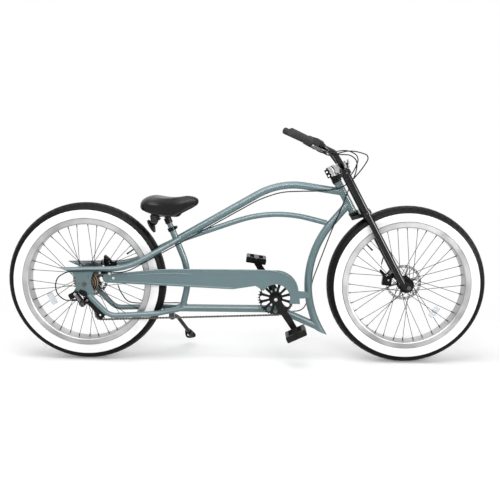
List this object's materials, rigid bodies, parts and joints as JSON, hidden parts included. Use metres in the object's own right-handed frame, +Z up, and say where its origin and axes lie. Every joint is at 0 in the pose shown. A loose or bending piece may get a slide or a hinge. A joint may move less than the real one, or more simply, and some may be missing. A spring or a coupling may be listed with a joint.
{
  "type": "stretched cruiser bicycle",
  "caption": "Stretched cruiser bicycle with a low curved frame, balloon whitewall tyres, a long raked fork, swept bars, a broad saddle, a chain drive and disc brakes.",
  "frame": {"origin": "on the ground midway between the two wheel axles, on the centre plane", "axes": "+X forward, +Y to the rider's left, +Z up"},
  "size_m": [2.126, 0.7178, 1.0408],
  "materials": {
    "frame_paint": "satin grey-blue paint",
    "tyre": "matt rubber with a white side band",
    "black_rubber": "matt",
    "silver": "polished",
    "steel": "bright",
    "black_metal": "satin black",
    "black_alloy": "black anodised alloy",
    "black_plastic": "matt black",
    "lens": "clear ribbed reflector",
    "red_lens": "red reflector in a black housing",
    "leather": "black vinyl cover"
  },
  "bodies": {
    "frame": {"head_tube": "frame_paint", "top_tube": "frame_paint", "mid_tube": "frame_paint", "down_tube": "frame_paint", "bottom_tube": "frame_paint", "seat_tube": "frame_paint", "rear_stays": "frame_paint", "dropouts": "frame_paint", "bottom_bracket": "frame_paint", "bearing_cups": "steel", "chain_guard": "frame_paint", "seat_clamp": "black_alloy", "rear_caliper": "black_alloy", "rear_axle": "steel", "derailleur_body": "black_alloy", "shift_cable": "black_plastic", "rear_brake_cable": "black_plastic", "chain": "steel"},
    "seat": {"seat_post": "frame_paint", "saddle": "leather", "saddle_frame": "black_metal", "rear_reflector": "red_lens"},
    "steering": {"fork_crowns": "black_alloy", "fork_legs": "black_metal", "stem": "silver", "handlebar": "black_metal", "grips": "black_rubber", "lever_brackets": "black_alloy", "front_caliper": "black_alloy", "front_brake_cable": "black_plastic", "front_axle": "steel", "front_reflector": "lens"},
    "front_wheel": {"front_tyre": "tyre", "front_inner_tube": "black_rubber", "front_rim": "silver", "front_spokes": "black_metal", "front_hub": "black_alloy", "front_rotor": "steel", "front_wheel_reflector": "lens"},
    "rear_wheel": {"rear_tyre": "tyre", "rear_inner_tube": "black_rubber", "rear_rim": "silver", "rear_spokes": "black_metal", "rear_hub": "black_alloy", "rear_rotor": "steel", "rear_wheel_reflector": "lens"},
    "crank": {"chainring": "black_metal", "crank_arms": "black_alloy"},
    "freewheel": {"cassette": "steel"},
    "right_pedal": {"right_pedal": "black_plastic"},
    "left_pedal": {"left_pedal": "black_plastic"},
    "cage": {"derailleur_cage": "black_metal"},
    "guide_pulley": {"guide_pulley": "black_plastic"},
    "tension_pulley": {"tension_pulley": "black_plastic"},
    "kickstand": {"kickstand": "black_alloy"},
    "twist_grip": {"twist_grip": "black_rubber"},
    "right_lever": {"right_brake_lever": "silver"},
    "left_lever": {"left_brake_lever": "silver"},
    "rear_arm": {"rear_caliper_arm": "black_metal"},
    "front_arm": {"front_caliper_arm": "black_metal"}
  },
  "joints": [
    {"name": "steering_turn", "type": "hinge", "parent": "frame", "child": "steering", "pos_m": [0.43003, 0, 0.74206], "axis": [-0.4772, 0, 0.8788], "range_deg": [-45, 45], "deforming": ["shift_cable", "rear_brake_cable"]},
    {"name": "front_wheel_spin", "type": "hinge", "parent": "steering", "child": "front_wheel", "pos_m": [0.71, 0, 0.353], "axis": [0, 1, 0], "continuous": true},
    {"name": "rear_wheel_spin", "type": "hinge", "parent": "frame", "child": "rear_wheel", "pos_m": [-0.71, 0, 0.353], "axis": [0, 1, 0], "continuous": true},
    {"name": "crank_spin", "type": "hinge", "parent": "frame", "child": "crank", "pos_m": [0.13, 0, 0.296], "axis": [0, 1, 0], "continuous": true, "deforming": ["chain"]},
    {"name": "freewheel_spin", "type": "hinge", "parent": "frame", "child": "freewheel", "pos_m": [-0.71, 0, 0.353], "axis": [0, 1, 0], "continuous": true},
    {"name": "guide_pulley_spin", "type": "hinge", "parent": "cage", "child": "guide_pulley", "pos_m": [-0.702, -0.06, 0.277], "axis": [0, 1, 0], "continuous": true},
    {"name": "tension_pulley_spin", "type": "hinge", "parent": "cage", "child": "tension_pulley", "pos_m": [-0.64613, -0.06, 0.21162], "axis": [0, 1, 0], "continuous": true},
    {"name": "right_pedal_spin", "type": "hinge", "parent": "crank", "child": "right_pedal", "pos_m": [0.21817, -0.091, 0.15653], "axis": [0, 1, 0], "continuous": true},
    {"name": "left_pedal_spin", "type": "hinge", "parent": "crank", "child": "left_pedal", "pos_m": [0.04183, 0.091, 0.43547], "axis": [0, 1, 0], "continuous": true},
    {"name": "cage_swing", "type": "hinge", "parent": "frame", "child": "cage", "pos_m": [-0.716, -0.06, 0.27], "axis": [0, 1, 0], "range_deg": [-12, 25], "stiffness_Nm_per_rad": 1, "deforming": ["chain"]},
    {"name": "kickstand_swing", "type": "hinge", "parent": "frame", "child": "kickstand", "pos_m": [-0.338, 0.034, 0.196], "axis": [-0.1249, 0.8506, 0.5108], "range_deg": [0, 93]},
    {"name": "seat_height", "type": "slide", "parent": "frame", "child": "seat", "axis": [-0.379, 0, 0.9254], "range_m": [0, 0.06]},
    {"name": "twist_shift", "type": "hinge", "parent": "steering", "child": "twist_grip", "pos_m": [0.26502, -0.23123, 0.98323], "axis": [-0.6016, -0.752, 0.2695], "range_deg": [-60, 60]},
    {"name": "right_lever_pull", "type": "hinge", "parent": "steering", "child": "right_lever", "pos_m": [0.32446, -0.20414, 0.94548], "axis": [-0.5858, 0.1859, -0.7889], "range_deg": [0, 12], "stiffness_Nm_per_rad": 2},
    {"name": "left_lever_pull", "type": "hinge", "parent": "steering", "child": "left_lever", "pos_m": [0.32446, 0.20414, 0.94548], "axis": [0.5858, 0.1859, 0.7889], "range_deg": [0, 12], "stiffness_Nm_per_rad": 2},
    {"name": "rear_arm_pull", "type": "hinge", "parent": "frame", "child": "rear_arm", "pos_m": [-0.64393, 0.075, 0.3707], "axis": [0, 1, 0], "range_deg": [0, 19.2]},
    {"name": "front_arm_pull", "type": "hinge", "parent": "steering", "child": "front_arm", "pos_m": [0.64197, 0.069, 0.36015], "axis": [0, 1, 0], "range_deg": [0, 19.2]}
  ],
  "couplings": [
    {"joint": "freewheel_spin", "follows": "crank_spin", "ratio": 1.9},
    {"joint": "guide_pulley_spin", "follows": "crank_spin", "ratio": -3.4545},
    {"joint": "tension_pulley_spin", "follows": "crank_spin", "ratio": 3.4545},
    {"joint": "rear_arm_pull", "follows": "right_lever_pull", "ratio": 1.6},
    {"joint": "front_arm_pull", "follows": "left_lever_pull", "ratio": 1.6}
  ]
}
